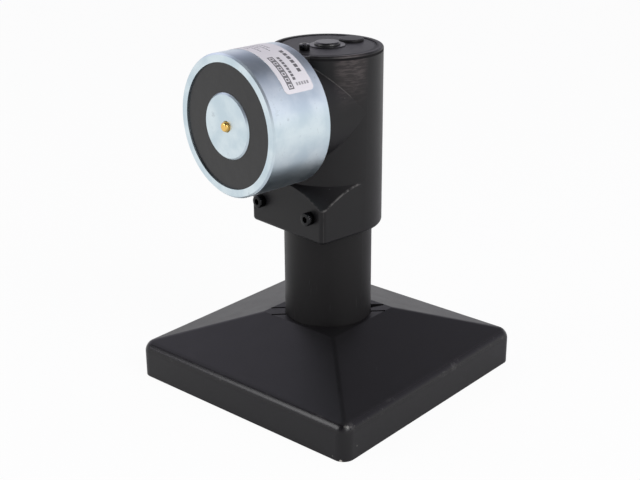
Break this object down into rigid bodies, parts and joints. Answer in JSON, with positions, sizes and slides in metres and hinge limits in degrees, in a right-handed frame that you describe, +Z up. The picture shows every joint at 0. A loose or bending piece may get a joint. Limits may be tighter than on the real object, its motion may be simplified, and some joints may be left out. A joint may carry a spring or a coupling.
{
  "type": "electromagnetic door holder",
  "caption": "Floor post with a square sloping foot cover and a round magnet head that turns on it; holds a steel keeper on a door until released.",
  "frame": {"origin": "on the floor under the column's axis, at the middle of the square foot", "axes": "+Z up along the column; X and Y along the foot's sides; the magnet faces about -Y, turned 6.3 degrees towards -X"},
  "size_m": [0.15, 0.15, 0.1923],
  "materials": {
    "black_moulding": "satin, fine grain",
    "black_steel_tube": "powder coated, satin",
    "cast_aluminium": "as cast",
    "black_screw_steel": "black oxide, oiled",
    "plated_steel": "zinc plated, turned",
    "potting": "cast, slightly glossy",
    "brass": "turned",
    "label_foil": "matt foil",
    "natural_nylon": "natural",
    "enamelled_copper": null,
    "spring_steel": "drawn wire",
    "black_button": "polished",
    "silver_contact": "silver plated",
    "board_laminate": "laminate",
    "green_plastic": "moulded"
  },
  "bodies": {
    "base": {"foot_flange": "cast_aluminium", "foot_set_screws": "black_screw_steel", "base_cover": "black_moulding", "column_tube": "black_steel_tube"},
    "head": {"head_housing": "black_moulding", "head_lid": "black_moulding", "lid_screw": "black_screw_steel", "clamp_screws": "black_screw_steel", "clamp_nuts": "plated_steel", "clamp_jaw": "cast_aluminium", "magnet_pot": "plated_steel", "potting_ring": "potting", "coil_bobbin": "natural_nylon", "magnet_coil": "enamelled_copper", "ejector_spring": "spring_steel", "magnet_bolt": "plated_steel", "bolt_washer": "spring_steel", "lead_bush": "natural_nylon", "rating_label": "label_foil", "switch_body": "black_button", "switch_nut": "plated_steel", "button_spring": "spring_steel", "switch_contacts": "silver_contact", "switch_base": "natural_nylon", "blanking_plug": "black_moulding", "terminal_board": "board_laminate", "terminal_block": "green_plastic", "terminal_screws": "plated_steel", "suppressor_diode": "black_button"},
    "button": {"push_button": "black_button", "contact_bridge": "silver_contact"},
    "pin": {"ejector_pin": "brass"}
  },
  "joints": [
    {"name": "head_swivel", "type": "hinge", "parent": "base", "child": "head", "pos_m": [0, 0, 0.123], "axis": [0, 0, 1], "range_deg": [-175, 175]},
    {"name": "button_press", "type": "slide", "parent": "head", "child": "button", "axis": [0, 0, -1], "range_m": [0, 0.0015], "stiffness_N_per_m": 800, "springref_m": -0.002, "deforming": ["button_spring"]},
    {"name": "pin_press", "type": "slide", "parent": "head", "child": "pin", "axis": [0.1097, 0.994, 0], "range_m": [0, 0.002], "stiffness_N_per_m": 1200, "springref_m": -0.003, "deforming": ["ejector_spring"]}
  ]
}
